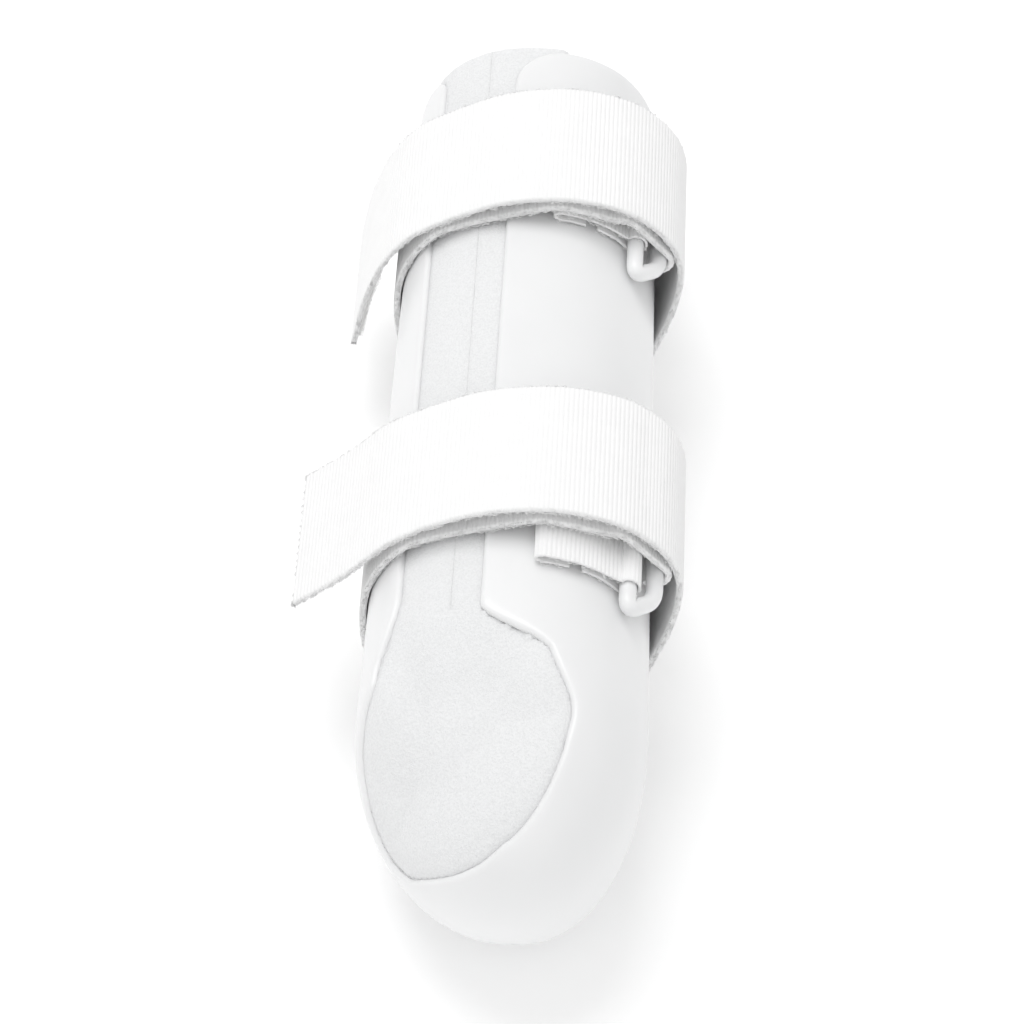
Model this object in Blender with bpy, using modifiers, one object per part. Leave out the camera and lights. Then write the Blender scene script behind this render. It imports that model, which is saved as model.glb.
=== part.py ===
"""Rigid wrap-round limb protector with a closed domed end, lying on its closed side.

A one-piece plastic wrap shell with a window in its dome, a foam liner made like a closed
sock with a slit along its top, and two wrap straps. Each strap starts at a plastic ring on
the flap, goes once round the shell and laps over itself. Lengths are in millimetres and are
scaled to metres when a mesh is made.

Axes: +Z up, Y along the limb with the domed end at -Y, X across, with the flap's ring at +X.
Section angles are in degrees from the bottom of the tube, positive towards +X.
"""
from math import asin, atan2, ceil, cos, degrees, hypot, radians, sin, sqrt

import bmesh
import bpy
from mathutils import Vector

MM = 0.001
OBJECT_NAME = "limb_protector"

# Where the middle of the tube lies in the object's own frame.
TUBE_X, TUBE_Y = 6.0, -7.6

# Tube: a superellipse that grows a little from the far, open end to the dome.
SECTION_POWER = 2.3
FAR_Y, DOME_Y = 155.0, -85.0
FAR_HALF_WIDTH, NEAR_HALF_WIDTH = 36.6, 39.2
FAR_HALF_HEIGHT, NEAR_HALF_HEIGHT = 38.2, 39.4
SHELL_BOTTOM = 2.7
DOME_LENGTH, DOME_DROP, DOME_SIDE = 58.0, 5.0, 5.0

PLASTIC = 3.2
FIT, LINER_FIT = 0.3, 0.8
FOAM, FOAM_PAST_END = 4.0, 3.0

# The liner's slit, and how far its foam sinks where it spans the window.
SLIT_X, SLIT_GAP, SLIT_END_Y = -13.2, 0.8, -72.0
SINK, SINK_REACH, SINK_START, SINK_FULL = 8.0, 32.0, 108.0, 76.0

# Trim lines of the shell: the flap's edge and the wall's edge as x on the upper half.
FLAP_X, FLAP_CORNER = -6.5, 15.0
WALL_X, WALL_CORNER = -29.0, 5.0
SWEEP_START, SWEEP_END_X = -70.0, 13.5
WALL_SWEEP_START, WALL_END_X = -60.0, -34.5

# Lip of the dome's window as (turn, tilt): turn is a section angle, tilt is from the nose.
LIP = [(-110, 83), (-98, 75), (-88, 64), (-81, 54), (-82, 44), (-92, 35), (-112, 28), (-137, 25),
       (-164, 27), (-181, 33), (-194, 42), (-202, 53), (-206, 64), (-207, 76)]
LIP_LEFT_SHARE, LIP_RIGHT_SHARE = 0.27, 0.84
LIP_MIDDLE = (-22.0, 58.0)

# Straps. Offsets are from the shell's outer face to the middle of the webbing.
STRAPS = {"near": -22.0, "far": 102.0}
OVERLAP_LIFT = {"near": (-1.2, 1.0), "far": (0.0, 0.0)}
STRAP_WIDTH, STRAP_THICK = 48.0, 2.0
HUG = FIT + STRAP_THICK / 2 + 0.1
FOLD_GAP = 0.5
FLAT_HALF, FLAT_EASE = 12.0, (16.0, 1.45)
START_LEAD, START_MARGIN = (-0.66, 0.75), 3.0
WRAP_OVER = [(141, 8.9), (149, 6.8), (160, 5.8), (171, 5.4), (180, 3.2), (187, 1.6), (205, 0.6),
             (219, 1.5)]
TAIL_START = (39.3, 28.5)
TAIL_ROUTE = [(41.9, 35.5), (45.0, 46), (46.8, 56), (46.6, 65), (42.8, 74.5), (34.2, 83.2),
              (23.8, 88.0), (9.3, 90.2), (-8.5, 87.6)]
TIP_START = (-23.6, 81.0)
TIP_ROUTES = {"near": [(-34.8, 73.2), (-46.2, 61.2), (-59.6, 49.5)],
              "far": [(-35.4, 73.6), (-44.2, 62.4), (-50.6, 46.5), (-54.6, 28.5)]}
HOOK_THICK, HOOK_WIDTH, HOOK_STEPS = 1.2, 44.0, 5

# Plastic ring (a long-sided loop) and the chafe that holds it on the flap.
RING_SHIFT = {"near": -9.0, "far": -3.0}
BAR_RADIUS = 2.4
RING_HELD, RING_FREE = (32.8, 72.6), (40.0, 66.2)
HELD_HALF, FREE_HALF, RING_CORNER = 33.0, 24.0, 4.0
CHAFE_SHIFT, CHAFE_WIDTH = {"near": -9.0, "far": -1.0}, {"near": 50.0, "far": 45.0}
CHAFE_THICK = 0.9
CHAFE_FOLD_X, CHAFE_TURN_X = 9.0, 25.5
CHAFE_LOW, CHAFE_HIGH = FIT + 0.6, 3.4
RIVET_X, RIVET_SPREAD = 16.0, 14.0
RIVET_HEAD, RIVET_SHANK, RIVET_LENGTH = 3.5, 1.5, 4.2
RIVET_HOLE, DRILL_DEPTH = 1.9, 11.0


# ---------------------------------------------------------------- small helpers

def mix(a, b, t):
    return a + (b - a) * t


def ease(t):
    t = min(max(t, 0.0), 1.0)
    return t * t * (3 - 2 * t)


def signed_power(value, exponent):
    return abs(value) ** exponent * (1 if value >= 0 else -1)


def material(name, colour, roughness):
    mat = bpy.data.materials.new(name)
    mat.use_nodes = True
    shader = mat.node_tree.nodes["Principled BSDF"]
    shader.inputs["Base Color"].default_value = (*colour, 1.0)
    shader.inputs["Roughness"].default_value = roughness
    shader.inputs["Metallic"].default_value = 0.0
    return mat


def smooth_route(points, step):
    """Points about every step along a Catmull-Rom curve through the given points."""
    pts = [Vector(p) for p in points]
    ends = [2 * pts[0] - pts[1]] + pts + [2 * pts[-1] - pts[-2]]
    out = [pts[0]]
    for a, b, c, d in zip(ends, ends[1:], ends[2:], ends[3:]):
        count = max(1, ceil((c - b).length / step))
        for i in range(1, count + 1):
            t = i / count
            out.append(0.5 * (2 * b + (c - a) * t + (2 * a - 5 * b + 4 * c - d) * t * t
                              + (3 * b - a - 3 * c + d) * t ** 3))
    return out


def arc(centre, radius, start, end, steps):
    """Points on an arc, with angles in degrees from +X towards +Z."""
    return [(centre[0] + radius * cos(radians(mix(start, end, i / steps))),
             centre[1] + radius * sin(radians(mix(start, end, i / steps)))) for i in range(steps + 1)]


# ---------------------------------------------------------------- shell surface

def section_size(y):
    t = min(max((FAR_Y - y) / (FAR_Y - DOME_Y), 0.0), 1.0)
    return mix(FAR_HALF_WIDTH, NEAR_HALF_WIDTH, t), mix(FAR_HALF_HEIGHT, NEAR_HALF_HEIGHT, t)


def tube_point(y, angle, inset=0.0):
    wide, high = section_size(y)
    power = 2 / SECTION_POWER
    x = (wide - inset) * signed_power(sin(radians(angle)), power)
    z = SHELL_BOTTOM + high - (high - inset) * signed_power(cos(radians(angle)), power)
    return Vector((x, y, z))


def dome_point(spot, inset=0.0):
    """A point on the dome. spot is (turn, tilt) laid out flat about the nose, in degrees."""
    tilt = hypot(*spot)
    turn = degrees(atan2(spot[0], -spot[1]))
    base = tube_point(DOME_Y, turn, inset)
    wide, high = section_size(DOME_Y)
    middle = SHELL_BOTTOM + high
    reach, ring = cos(radians(tilt)), sin(radians(tilt))
    return Vector((base.x * ring + DOME_SIDE * reach ** 2,
                   DOME_Y - (DOME_LENGTH - inset) * reach,
                   middle + (base.z - middle) * ring - DOME_DROP * reach ** 2))


def offset_point(y, angle, out):
    """A point off the tube's outer face, along its normal in the XZ plane."""
    here = tube_point(y, angle)
    ahead, behind = tube_point(y, angle + 0.5), tube_point(y, angle - 0.5)
    along = (ahead - behind).normalized()
    return Vector((here.x + along.z * out, here.z - along.x * out))


def upper_angle(y, x, inset=0.0):
    """Section angle of the point at x on the upper half, from 90 to 270 degrees."""
    wide = section_size(y)[0] - inset
    return 180 - degrees(asin(signed_power(x / wide, SECTION_POWER / 2)))


def corner_back(y, end, radius):
    """How far an edge draws back as it rounds a corner of this radius at y = end."""
    past = max(0.0, y - (end - radius))
    return radius - sqrt(max(0.0, radius ** 2 - past ** 2))


def flap_edge(y):
    sweep = ease((SWEEP_START - y) / (SWEEP_START - DOME_Y))
    x = mix(FLAP_X, SWEEP_END_X, sweep) + corner_back(y, FAR_Y, FLAP_CORNER)
    return upper_angle(y, x)


def wall_edge(y):
    drop = ease((WALL_SWEEP_START - y) / (WALL_SWEEP_START - DOME_Y))
    x = mix(WALL_X, WALL_END_X, drop) - 0.5 * corner_back(y, FAR_Y, WALL_CORNER)
    return upper_angle(y, x) - 360


def flat_spot(turn, tilt):
    return Vector((tilt * sin(radians(turn)), -tilt * cos(radians(turn))))


def lip_curve():
    """The lip from the wall's edge round the nose to the flap's edge, in the flat layout."""
    ends = flat_spot(wall_edge(DOME_Y), 90), flat_spot(flap_edge(DOME_Y) - 360, 90)
    return smooth_route([ends[0]] + [flat_spot(*p) for p in LIP] + [ends[1]], 1.0)


def along_curve(points, share):
    spot = share * (len(points) - 1)
    low = min(int(spot), len(points) - 2)
    return points[low].lerp(points[low + 1], spot - low)


def dome_rows(columns, rows):
    """A Coons patch between the tube's last section and the lip, in the flat layout."""
    left, right = wall_edge(DOME_Y), flap_edge(DOME_Y)
    lip = lip_curve()
    corners = [lip[0], lip[-1], along_curve(lip, LIP_LEFT_SHARE), along_curve(lip, LIP_RIGHT_SHARE)]
    grid = []
    for r in range(1, rows + 1):
        t = r / rows
        side_l = along_curve(lip, LIP_LEFT_SHARE * t)
        side_r = along_curve(lip, mix(1.0, LIP_RIGHT_SHARE, t))
        row = []
        for c in range(columns + 1):
            s = c / columns
            start = flat_spot(mix(left, right, s), 90)
            end = along_curve(lip, mix(LIP_LEFT_SHARE, LIP_RIGHT_SHARE, s))
            corner = (corners[0] * (1 - s) * (1 - t) + corners[1] * s * (1 - t)
                      + corners[2] * (1 - s) * t + corners[3] * s * t)
            row.append(start * (1 - t) + end * t + side_l * (1 - s) + side_r * s - corner)
        grid.append(row)
    return grid


def tube_stations(end):
    """Distances along the tube, closer together at the far corners and at the sweep."""
    close = [0, 0.5, 1.6, 3.4, 6, 9.5, 14, 20]
    middle = [mix(end - 20, SWEEP_START, i / 9) for i in range(1, 10)]
    sweep = [mix(SWEEP_START, DOME_Y, i / 6) for i in range(1, 7)]
    return [end - c for c in close] + middle + sweep


# ---------------------------------------------------------------- meshes

def add_object(name, mesh, mat, smooth_angle=40):
    mesh.materials.append(mat)
    mesh.shade_smooth()
    mesh.set_sharp_from_angle(angle=radians(smooth_angle))
    obj = bpy.data.objects.new(name, mesh)
    parts.objects.link(obj)
    obj.parent = frame
    return obj


def grid_mesh(name, rows, closed=False, weld=False):
    """A quad sheet from rows of points in millimetres. Welding joins points that coincide."""
    mesh = bpy.data.meshes.new(name)
    bm = bmesh.new()
    verts = [[bm.verts.new(Vector(p) * MM) for p in row] for row in rows]
    if closed:
        verts.append(verts[0])
    for low, high in zip(verts, verts[1:]):
        for a, b, c, d in zip(low, low[1:], high[1:], high):
            bm.faces.new((a, b, c, d))
    if weld:
        bmesh.ops.remove_doubles(bm, verts=bm.verts, dist=0.01 * MM)
    bm.to_mesh(mesh)
    bm.free()
    return mesh


def thicken(obj, thickness, side):
    mod = obj.modifiers.new("Solidify", "SOLIDIFY")
    mod.thickness = thickness * MM
    mod.offset = side
    mod.use_even_offset = True
    mod.use_quality_normals = True
    return obj


def pivot(obj, x, y, z):
    """Puts the object's origin on its joint's axis and leaves its shape where it is."""
    for vert in obj.data.vertices:
        vert.co -= Vector((x, y, z)) * MM
    obj.location = Vector((x, y, z)) * MM


def ribbon(name, mat, route, edges, thickness, lift=lambda share: (0.0, 0.0)):
    """Webbing along a route in XZ. At a share of the route, edges gives the y of its far and
    near edges, and lift how far each stands above the route."""
    rows = []
    for i, (x, z) in enumerate(route):
        share = i / (len(route) - 1)
        far, near = edges(share)
        up_far, up_near = lift(share)
        rows.append([(x, far, z + up_far), (x, near, z + up_near)])
    obj = add_object(name, grid_mesh(name, rows), mat)
    return thicken(obj, thickness, 0)


# ---------------------------------------------------------------- parts

def make_shell():
    """A sheet that follows the tube and the dome up to its trim lines, thickened inwards."""
    columns = 30
    sheet = []
    for y in tube_stations(FAR_Y):
        angles = [mix(wall_edge(y), flap_edge(y), c / columns) for c in range(columns + 1)]
        sheet.append([tube_point(y, angle) for angle in angles])
    sheet += [[dome_point(spot) for spot in row] for row in dome_rows(columns, 9)]
    obj = add_object("shell", grid_mesh("shell", sheet), white_plastic)
    thicken(obj, PLASTIC, -1)


def sink(spot, lip):
    """How far the liner's foam sags below its own surface where it spans the window."""
    nearest = min(lip, key=lambda p: (spot - p).length_squared)
    if (spot - nearest).dot(Vector(LIP_MIDDLE) - nearest) < 0:
        return 0.0
    fade = ease((SINK_START - spot.length) / (SINK_START - SINK_FULL))
    return SINK * fade * ease((spot - nearest).length / SINK_REACH)


def make_liner():
    """A closed sock of foam with a slit along its top, which ends where the dome begins."""
    inset = PLASTIC + LINER_FIT
    columns, rows = 38, 12
    lip = lip_curve()
    sheet = []
    for y in tube_stations(FAR_Y + FOAM_PAST_END):
        slit = upper_angle(y, SLIT_X, inset)
        gap = degrees(SLIT_GAP / 2 / NEAR_HALF_WIDTH) if y > SLIT_END_Y else 0.0
        row = []
        for c in range(columns + 1):
            angle = mix(slit - 360 + gap, slit - gap, c / columns)
            down = sink(flat_spot(angle, 90 + y - DOME_Y), lip)
            row.append(tube_point(y, angle, inset + down))
        sheet.append(row)
    slit = upper_angle(DOME_Y, SLIT_X, inset)
    turns = [mix(slit - 360, slit, c / columns) for c in range(columns + 1)]
    for r in range(1, rows + 1):
        spots = [flat_spot(turn, 90 * (1 - r / rows)) for turn in turns]
        sheet.append([dome_point(spot, inset + sink(spot, lip)) for spot in spots])
    obj = add_object("liner", grid_mesh("liner", sheet, weld=True), white_foam)
    thicken(obj, FOAM, -1)


def strap_edges(side):
    """y of the strap's far and near edges."""
    return STRAPS[side] + STRAP_WIDTH / 2, STRAPS[side] - STRAP_WIDTH / 2


def strap_section(side):
    """The strap follows the shell's section at its near edge, the larger one."""
    return strap_edges(side)[1]


def ring_middle(side):
    return STRAPS[side] + RING_SHIFT[side]


def start_edges(side):
    """Far and near edges of the strap where it is gathered inside the ring."""
    half = FREE_HALF - START_MARGIN
    middle = ring_middle(side)
    far, near = strap_edges(side)
    return min(far, middle + half), max(near, middle - half)


def local(side, spot):
    """Moves a spot drawn for the largest section to where this strap's section has it."""
    wide, high = section_size(strap_section(side))
    x_scale, z_scale = wide / NEAR_HALF_WIDTH, high / NEAR_HALF_HEIGHT
    return Vector((spot[0] * x_scale, SHELL_BOTTOM + (spot[1] - SHELL_BOTTOM) * z_scale))


def make_strap_start(side):
    """The strap's first end, turned round the ring's free bar."""
    centre = local(side, RING_FREE)
    radius = BAR_RADIUS + FIT + STRAP_THICK / 2
    turn = arc(centre, radius, 215 - 360, 40, 12)
    last = Vector(turn[-1])
    route = turn + [tuple(last + Vector(START_LEAD) * 3.0)]
    gathered = start_edges(side)
    start = ribbon(f"strap_start_{side}", webbing, route, lambda share: gathered, STRAP_THICK)
    held = local(side, RING_HELD)
    pivot(start, held.x, ring_middle(side), held.y)
    return last


def wrap_route(side, last):
    y = strap_section(side)
    begin = last + Vector(START_LEAD) * (3.0 + FIT + 0.1)
    over = [begin] + [offset_point(y, angle, out) for angle, out in WRAP_OVER]
    left = [offset_point(y, angle, HUG) for angle in range(230, 330, 12)]
    flat = [(-FLAT_HALF, STRAP_THICK / 2), (-FLAT_HALF / 3, STRAP_THICK / 2),
            (FLAT_HALF / 3, STRAP_THICK / 2), (FLAT_HALF, STRAP_THICK / 2)]
    right = [offset_point(y, angle, HUG) for angle in range(32, 66, 11)]
    ease_x, ease_z = FLAT_EASE
    route = smooth_route(over + left + [(-ease_x, ease_z)], 6.0)
    route += [Vector(p) for p in flat]
    route += smooth_route([(ease_x, ease_z)] + right + [local(side, TAIL_START)], 6.0)
    return route[:-1] + [route[-1] - (route[-1] - route[-2]).normalized() * FOLD_GAP]


def fold_axis(route, lift=0.0):
    """The line that a strap's piece folds back about, at its start and on its outer face."""
    along = (route[1] - route[0]).normalized()
    return route[0] + Vector((along.y, -along.x)) * (STRAP_THICK / 2 + lift)


def make_strap(side):
    far, near = strap_edges(side)
    last = make_strap_start(side)
    gathered = start_edges(side)

    def tapered(share):
        t = ease(share / 0.10)
        return mix(gathered[0], far, t), mix(gathered[1], near, t)

    ribbon(f"strap_wrap_{side}", webbing, wrap_route(side, last), tapered, STRAP_THICK)

    tail_route = smooth_route([local(side, p) for p in [TAIL_START, *TAIL_ROUTE, TIP_START]], 6.0)
    low, high = OVERLAP_LIFT[side]

    def tail_lift(share):
        rise = ease((share - 0.3) / 0.5)
        return low * rise, high * rise

    tail = ribbon(f"strap_tail_{side}", webbing, tail_route, lambda s: (far, near), STRAP_THICK, tail_lift)
    hinge = fold_axis(tail_route)
    pivot(tail, hinge.x, STRAPS[side], hinge.y)

    tip_route = smooth_route([local(side, p) for p in [TIP_START, *TIP_ROUTES[side]]], 6.0)
    hinge = fold_axis(tip_route, high)
    tip_route[0] = tip_route[0] + (tip_route[1] - tip_route[0]).normalized() * FOLD_GAP
    tip = ribbon(f"strap_tip_{side}", webbing, tip_route, lambda s: (far, near), STRAP_THICK,
                 lambda s: (low * (1 - ease(2.2 * s)), high * (1 - ease(2.2 * s))))
    pivot(tip, hinge.x, STRAPS[side], hinge.y)
    make_hook(side, tip_route, hinge)


def make_hook(side, route, hinge):
    """The hook patch on the underside of the strap's free end."""
    below = STRAP_THICK / 2 + FIT + HOOK_THICK / 2
    free = route[len(route) - HOOK_STEPS - 1:]
    points = []
    for before, here, after in zip(free, free[1:], free[2:] + [2 * route[-1] - route[-2]]):
        along = (after - before).normalized()
        points.append(here + Vector((-along.y, along.x)) * below)
    half = HOOK_WIDTH / 2
    middle = STRAPS[side]
    hook = ribbon(f"hook_{side}", hook_tape, points, lambda s: (middle + half, middle - half), HOOK_THICK)
    pivot(hook, hinge.x, middle, hinge.y)


def make_ring(side):
    """A long-sided loop of round rod. The side held by the chafe is the longer one."""
    held, free = local(side, RING_HELD), local(side, RING_FREE)
    corners = [(held, -HELD_HALF), (free, -FREE_HALF), (free, FREE_HALF), (held, HELD_HALF)]
    points = [Vector((spot.x, y, spot.y)) for spot, y in corners]
    path = []
    for i, here in enumerate(points):
        back = (points[i - 1] - here).normalized() * RING_CORNER
        ahead = (points[(i + 1) % 4] - here).normalized() * RING_CORNER
        for k in range(6):
            t = k / 5
            path.append(here + back * (1 - t) ** 2 + ahead * t ** 2)
    origin = Vector((held.x, 0.0, held.y))
    curve = bpy.data.curves.new("ring", "CURVE")
    curve.dimensions = "3D"
    curve.bevel_depth = BAR_RADIUS * MM
    curve.bevel_resolution = 3
    spline = curve.splines.new("POLY")
    spline.points.add(len(path) - 1)
    for point, spot in zip(spline.points, path):
        point.co = (*((spot - origin) * MM), 1.0)
    spline.use_cyclic_u = True
    curve.materials.append(white_plastic)
    ring = bpy.data.objects.new(f"ring_{side}", curve)
    parts.objects.link(ring)
    ring.parent = frame
    ring.location = (origin + Vector((0, ring_middle(side), 0))) * MM


def chafe_angle(side, x):
    return upper_angle(strap_section(side), x)


def make_chafe(side):
    """Webbing folded into a flat loop: two layers on the flap, closed round the ring's bar."""
    y = strap_section(side)
    held = local(side, RING_HELD)
    fold, turn = chafe_angle(side, CHAFE_FOLD_X), chafe_angle(side, CHAFE_TURN_X)
    low = [offset_point(y, mix(turn, fold, i / 5), CHAFE_LOW) for i in range(6)]
    high = [offset_point(y, mix(fold, turn, i / 5), CHAFE_HIGH) for i in range(6)]
    bulge = offset_point(y, fold + 2.2, (CHAFE_LOW + CHAFE_HIGH) / 2)
    radius = BAR_RADIUS + FIT + CHAFE_THICK / 2
    bar = [Vector(p) for p in arc(held, radius, 128, -122, 12)]
    route = high + bar + low + [bulge]
    middle = STRAPS[side] + CHAFE_SHIFT[side]
    half = CHAFE_WIDTH[side] / 2
    rows = [[(p.x, middle + half, p.y), (p.x, middle - half, p.y)] for p in route]
    chafe = add_object(f"chafe_{side}", grid_mesh(f"chafe_{side}", rows[::-1], closed=True), webbing)
    thicken(chafe, CHAFE_THICK, 0)
    return chafe


def make_rivet(side, number, shift, chafe):
    """A rivet through the chafe's lower layer and the shell, with its head between the layers."""
    y = ring_middle(side) + shift
    angle = chafe_angle(side, RIVET_X)
    seat = offset_point(strap_section(side), angle, FIT + CHAFE_THICK + FIT)
    out = (offset_point(strap_section(side), angle, 10.0) - seat).normalized()
    tilt = atan2(out.x, out.y)
    mesh = bpy.data.meshes.new("rivet")
    bm = bmesh.new()
    profile = [(0, 1.0), (RIVET_HEAD * 0.7, 0.8), (RIVET_HEAD, 0.0), (RIVET_SHANK, 0.0),
               (RIVET_SHANK, -RIVET_LENGTH), (0, -RIVET_LENGTH)]
    verts = [bm.verts.new(Vector((r, 0, h)) * MM) for r, h in profile]
    for a, b in zip(verts, verts[1:]):
        bm.edges.new((a, b))
    bm.to_mesh(mesh)
    bm.free()
    rivet = add_object(f"rivet_{side}_{number}", mesh, rivet_metal)
    screw = rivet.modifiers.new("Screw", "SCREW")
    screw.steps = screw.render_steps = 16
    screw.use_merge_vertices = True
    screw.merge_threshold = 0.00001
    rivet.location = Vector((seat.x, y, seat.y)) * MM
    rivet.rotation_euler = (0, tilt, 0)

    bpy.ops.mesh.primitive_cylinder_add(vertices=16, radius=RIVET_HOLE * MM, depth=DRILL_DEPTH * MM)
    drill = bpy.context.active_object
    drill.name = f"drill_{side}_{number}"
    for collection in list(drill.users_collection):
        collection.objects.unlink(drill)
    cutters.objects.link(drill)
    drill.parent = frame
    drill.location = (Vector((seat.x, y, seat.y)) - Vector((out.x, 0, out.y)) * 4.5) * MM
    drill.rotation_euler = (0, tilt, 0)
    drill.hide_render = True
    drill.display_type = "WIRE"
    for target in (chafe, bpy.data.objects["shell"]):
        cut = target.modifiers.new(f"Hole {side} {number}", "BOOLEAN")
        cut.object = drill
        cut.operation = "DIFFERENCE"
        cut.solver = "EXACT"


# ---------------------------------------------------------------- assembly

for old in list(bpy.data.objects):
    bpy.data.objects.remove(old, do_unlink=True)

parts = bpy.data.collections.new(OBJECT_NAME)
cutters = bpy.data.collections.new("cutters")
bpy.context.scene.collection.children.link(parts)
bpy.context.scene.collection.children.link(cutters)
frame = bpy.data.objects.new("protector_frame", None)
parts.objects.link(frame)
frame.location = (TUBE_X * MM, TUBE_Y * MM, 0.0)

white_plastic = material("white_plastic", (0.86, 0.87, 0.88), 0.32)
white_foam = material("white_foam", (0.80, 0.81, 0.82), 0.95)
webbing = material("webbing", (0.92, 0.92, 0.92), 0.9)
hook_tape = material("hook_tape", (0.88, 0.88, 0.87), 0.7)
rivet_metal = material("rivet_metal", (0.75, 0.75, 0.76), 0.35)

make_shell()
make_liner()
for strap_side in STRAPS:
    make_strap(strap_side)
    make_ring(strap_side)
    side_chafe = make_chafe(strap_side)
    make_rivet(strap_side, 1, -RIVET_SPREAD, side_chafe)
    make_rivet(strap_side, 2, RIVET_SPREAD, side_chafe)
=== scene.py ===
"""Visible surfaces of the rigid limb protector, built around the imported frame.

The shell, foam and webbing follow the same section and routes as the CAD solids, at a finer
grain: rounded rims, ribbed webbing, pile loops along its edges, hook tape and a smooth ring.
Shapes are drawn in millimetres in the tube's own axes (X across, Y along the limb, Z up) and are
moved to where the frame has the tube.
"""
from math import asin, ceil, cos, degrees, pi, radians, sin, sqrt

import bmesh
import bpy
import numpy as np
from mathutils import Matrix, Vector, kdtree, noise


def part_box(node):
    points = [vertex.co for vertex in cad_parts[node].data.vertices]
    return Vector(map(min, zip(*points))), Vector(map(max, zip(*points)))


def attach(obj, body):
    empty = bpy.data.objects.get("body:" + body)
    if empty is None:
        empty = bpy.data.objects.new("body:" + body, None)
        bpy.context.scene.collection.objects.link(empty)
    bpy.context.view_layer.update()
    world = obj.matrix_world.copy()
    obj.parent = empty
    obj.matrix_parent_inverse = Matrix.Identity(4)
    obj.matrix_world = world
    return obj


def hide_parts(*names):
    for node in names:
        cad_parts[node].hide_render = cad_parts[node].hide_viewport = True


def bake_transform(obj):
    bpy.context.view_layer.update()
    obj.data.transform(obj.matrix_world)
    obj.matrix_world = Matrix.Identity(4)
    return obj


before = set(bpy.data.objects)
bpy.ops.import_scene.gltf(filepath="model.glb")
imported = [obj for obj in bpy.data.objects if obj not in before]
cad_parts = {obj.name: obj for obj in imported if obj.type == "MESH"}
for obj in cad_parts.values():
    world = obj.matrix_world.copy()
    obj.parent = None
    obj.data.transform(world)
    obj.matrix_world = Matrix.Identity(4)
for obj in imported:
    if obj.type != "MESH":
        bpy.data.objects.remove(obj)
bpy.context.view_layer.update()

MM = 0.001

# Tube and dome.
SECTION_POWER = 2.3
FAR_Y, DOME_Y = 155.0, -85.0
FAR_HALF_WIDTH, NEAR_HALF_WIDTH = 36.6, 39.2
FAR_HALF_HEIGHT, NEAR_HALF_HEIGHT = 38.2, 39.4
SHELL_BOTTOM = 2.7
DOME_LENGTH, DOME_DROP, DOME_SIDE = 58.0, 5.0, 5.0
PLASTIC, FIT, LINER_FIT, FOAM = 3.2, 0.3, 0.8, 4.0
FOAM_PAST_END = 3.0
PLASTIC_RIM, FOAM_RIM = 1.45, 1.1

# The liner's slit, how far its foam sinks across the window, and how it swells in the opening.
SLIT_X, SLIT_GAP, SLIT_END_Y, SLIT_TAPER, SLIT_RIM = -13.2, 0.06, -72.0, 10.0, 0.4
SINK, SINK_REACH, SINK_START, SINK_FULL = 8.0, 32.0, 108.0, 76.0
SWELL, SWELL_WIDTH = 2.7, 2.6
FOAM_GRAIN, FOAM_GRAIN_SCALE = 0.16, 0.3
LINER_SPACING, LINER_COLUMNS, LINER_DOME_ROWS, EDGE_STEPS = 1.8, 150, 45, 700

# Trim lines, as x on the upper half, and the lip of the dome's window as (turn, tilt).
FLAP_X, FLAP_CORNER = -6.5, 15.0
WALL_X, WALL_CORNER = -29.0, 5.0
SWEEP_START, SWEEP_END_X = -70.0, 13.5
WALL_SWEEP_START, WALL_END_X = -60.0, -34.5
LIP = [(-110, 83), (-98, 75), (-88, 64), (-81, 54), (-82, 44), (-92, 35), (-112, 28), (-137, 25),
       (-164, 27), (-181, 33), (-194, 42), (-202, 53), (-206, 64), (-207, 76)]
LIP_LEFT_SHARE, LIP_RIGHT_SHARE = 0.27, 0.84
LIP_MIDDLE = (-22.0, 58.0)

# Straps.
STRAP_WIDTH, STRAP_THICK = 48.0, 2.0
OVERLAP_LIFT = {"near": (-1.2, 1.0), "far": (0.0, 0.0)}
HUG = FIT + STRAP_THICK / 2 + 0.1
FLAT_HALF, FLAT_EASE = 12.0, (16.0, 1.45)
START_LEAD, START_MARGIN = (-0.66, 0.75), 3.0
WRAP_OVER = [(141, 8.9), (149, 6.8), (160, 5.8), (171, 5.4), (180, 3.2), (187, 1.6), (205, 0.6),
             (219, 1.5)]
TAIL_START = (39.3, 28.5)
TAIL_ROUTE = [(41.9, 35.5), (45.0, 46), (46.8, 56), (46.6, 65), (42.8, 74.5), (34.2, 83.2),
              (23.8, 88.0), (9.3, 90.2), (-8.5, 87.6)]
TIP_START = (-23.6, 81.0)
TIP_ROUTES = {"near": [(-34.8, 73.2), (-46.2, 61.2), (-59.6, 49.5)],
              "far": [(-35.4, 73.6), (-44.2, 62.4), (-50.6, 46.5), (-54.6, 28.5)]}
HOOK_THICK, HOOK_WIDTH, HOOK_LENGTH, HOOK_RADIUS = 0.5, 44.0, 27.0, 0.11
RIB_PITCH, RIB_DEPTH, RIB_STEPS = 1.3, 0.3, 6
SEAM_REACH = 6.0
EDGE_WOBBLE = 0.16

# Ring and chafe.
RING_SHIFT = {"near": -9.0, "far": -3.0}
BAR_RADIUS = 2.4
RING_HELD, RING_FREE = (32.8, 72.6), (40.0, 66.2)
HELD_HALF, FREE_HALF, RING_CORNER = 33.0, 24.0, 4.5
CHAFE_SHIFT, CHAFE_WIDTH = {"near": -9.0, "far": -1.0}, {"near": 50.0, "far": 45.0}
CHAFE_THICK = 0.9
CHAFE_FOLD_X, CHAFE_TURN_X = 9.0, 25.5
CHAFE_LOW, CHAFE_HIGH = FIT + 0.6, 3.4

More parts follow.
